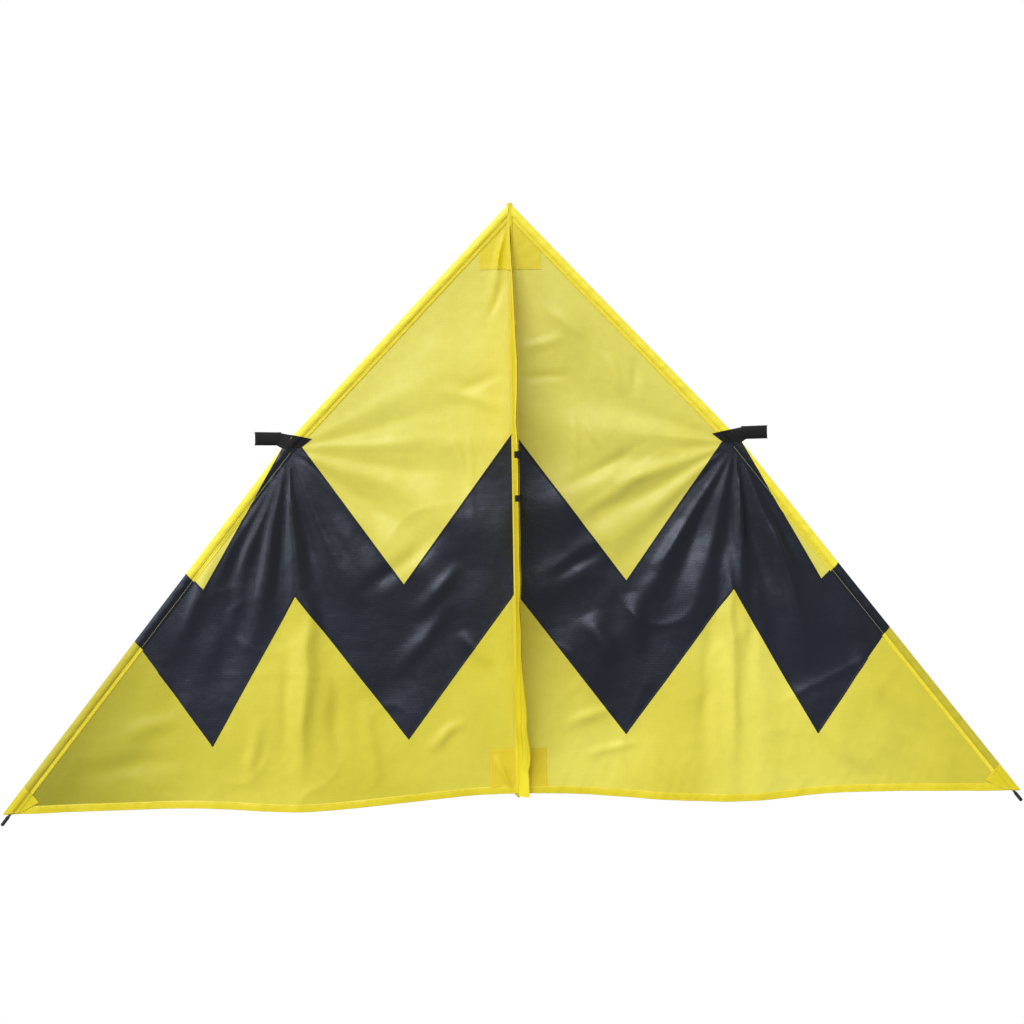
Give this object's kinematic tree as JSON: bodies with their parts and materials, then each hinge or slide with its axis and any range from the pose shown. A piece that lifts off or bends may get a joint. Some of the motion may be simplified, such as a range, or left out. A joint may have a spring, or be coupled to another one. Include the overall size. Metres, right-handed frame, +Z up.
{
  "type": "delta kite",
  "caption": "Framed delta kite with a zigzag band sewn across its sail, a fin-shaped keel with tow loops, and a cross spar held in webbing pockets.",
  "frame": {"origin": "under the middle of the kite's box, on the surface that it lies on with its keel up", "axes": "+X along the span to the right wing, +Y along the spine towards the nose, +Z up, the way the keel points"},
  "size_m": [1.9828, 1.1848, 0.2487],
  "materials": {
    "yellow_ripstop": "single layer ripstop cloth, coated, soft sheen",
    "yellow_double": "folded double ripstop cloth of hems, sleeves and patches",
    "dark_ripstop": "coated dark ripstop cloth with a cool sheen",
    "webbing": "woven black tape and webbing, matt",
    "fibreglass": "ground fibreglass rod, satin",
    "aluminium": "drawn tube, satin",
    "vinyl": "dipped vinyl cap, satin"
  },
  "bodies": {
    "spine": {"spine_rod_upper": "fibreglass", "spine_rod_lower": "fibreglass", "spine_ferrule": "aluminium", "spine_nose_cap": "vinyl", "spine_tail_cap": "vinyl", "spine_sleeve": "yellow_double"},
    "left_wing": {"left_nose_panel": "yellow_ripstop", "left_shoulder_panel": "yellow_ripstop", "left_zigzag_panel": "dark_ripstop", "left_tail_panel": "yellow_ripstop", "left_trailing_hem": "yellow_double", "left_nose_sleeve": "yellow_double", "left_shoulder_sleeve": "yellow_double", "left_zigzag_sleeve": "dark_ripstop", "left_tip_sleeve": "yellow_double", "left_spar_upper": "fibreglass", "left_spar_lower": "fibreglass", "left_spar_ferrule": "aluminium", "left_spar_nose_cap": "vinyl", "left_spar_tip_cap": "vinyl", "left_nose_patch": "yellow_double", "left_tail_patch": "yellow_double", "left_tip_patch": "yellow_double", "left_strap_patch": "webbing"},
    "left_pocket": {"left_spreader_pocket": "webbing"},
    "right_wing": {"right_nose_panel": "yellow_ripstop", "right_shoulder_panel": "yellow_ripstop", "right_zigzag_panel": "dark_ripstop", "right_tail_panel": "yellow_ripstop", "right_trailing_hem": "yellow_double", "right_nose_sleeve": "yellow_double", "right_shoulder_sleeve": "yellow_double", "right_zigzag_sleeve": "dark_ripstop", "right_tip_sleeve": "yellow_double", "right_spar_upper": "fibreglass", "right_spar_lower": "fibreglass", "right_spar_ferrule": "aluminium", "right_spar_nose_cap": "vinyl", "right_spar_tip_cap": "vinyl", "right_nose_patch": "yellow_double", "right_tail_patch": "yellow_double", "right_tip_patch": "yellow_double", "right_strap_patch": "webbing"},
    "right_pocket": {"right_spreader_pocket": "webbing"},
    "spreader": {"spreader_ferrule": "aluminium", "left_spreader_rod": "fibreglass", "right_spreader_rod": "fibreglass", "left_spreader_cap": "vinyl", "right_spreader_cap": "vinyl"},
    "keel": {"keel_panel": "yellow_double", "keel_hem": "yellow_double", "left_tow_patch": "yellow_double", "right_tow_patch": "yellow_double", "upper_loop_anchor": "webbing", "lower_loop_anchor": "webbing"},
    "upper_tow_loop": {"upper_tow_loop": "webbing"},
    "lower_tow_loop": {"lower_tow_loop": "webbing"}
  },
  "joints": [
    {"name": "left_wing_flex", "type": "hinge", "parent": "spine", "child": "left_wing", "pos_m": [-0.008, 0, 0.01915], "axis": [0, -1, 0], "range_deg": [0, 10]},
    {"name": "right_wing_flex", "type": "hinge", "parent": "spine", "child": "right_wing", "pos_m": [0.008, 0, 0.01915], "axis": [0, 1, 0], "range_deg": [0, 10]},
    {"name": "spreader_shift", "type": "slide", "parent": "spine", "child": "spreader", "axis": [0, 0, -1], "range_m": [0, 0.0751]},
    {"name": "left_pocket_fold", "type": "hinge", "parent": "left_wing", "child": "left_pocket", "pos_m": [-0.44, 0.14194, 0.01915], "axis": [0, 1, 0], "range_deg": [0, 10]},
    {"name": "right_pocket_fold", "type": "hinge", "parent": "right_wing", "child": "right_pocket", "pos_m": [0.44, 0.14194, 0.01915], "axis": [0, -1, 0], "range_deg": [0, 10]},
    {"name": "keel_swing", "type": "hinge", "parent": "spine", "child": "keel", "pos_m": [0, 0, 0.0201], "axis": [0, 1, 0], "range_deg": [-80, 80]},
    {"name": "upper_loop_swing", "type": "hinge", "parent": "keel", "child": "upper_tow_loop", "pos_m": [0, 0.09344, 0.2327], "axis": [0, 1, 0], "range_deg": [-55, 55]},
    {"name": "lower_loop_swing", "type": "hinge", "parent": "keel", "child": "lower_tow_loop", "pos_m": [0, 0.01594, 0.2327], "axis": [0, 1, 0], "range_deg": [-55, 55]}
  ],
  "couplings": [
    {"joint": "right_wing_flex", "follows": "left_wing_flex", "ratio": 1},
    {"joint": "spreader_shift", "follows": "left_wing_flex", "m_per_rad": 0.42981},
    {"joint": "left_pocket_fold", "follows": "left_wing_flex", "ratio": 1},
    {"joint": "right_pocket_fold", "follows": "left_wing_flex", "ratio": 1}
  ]
}
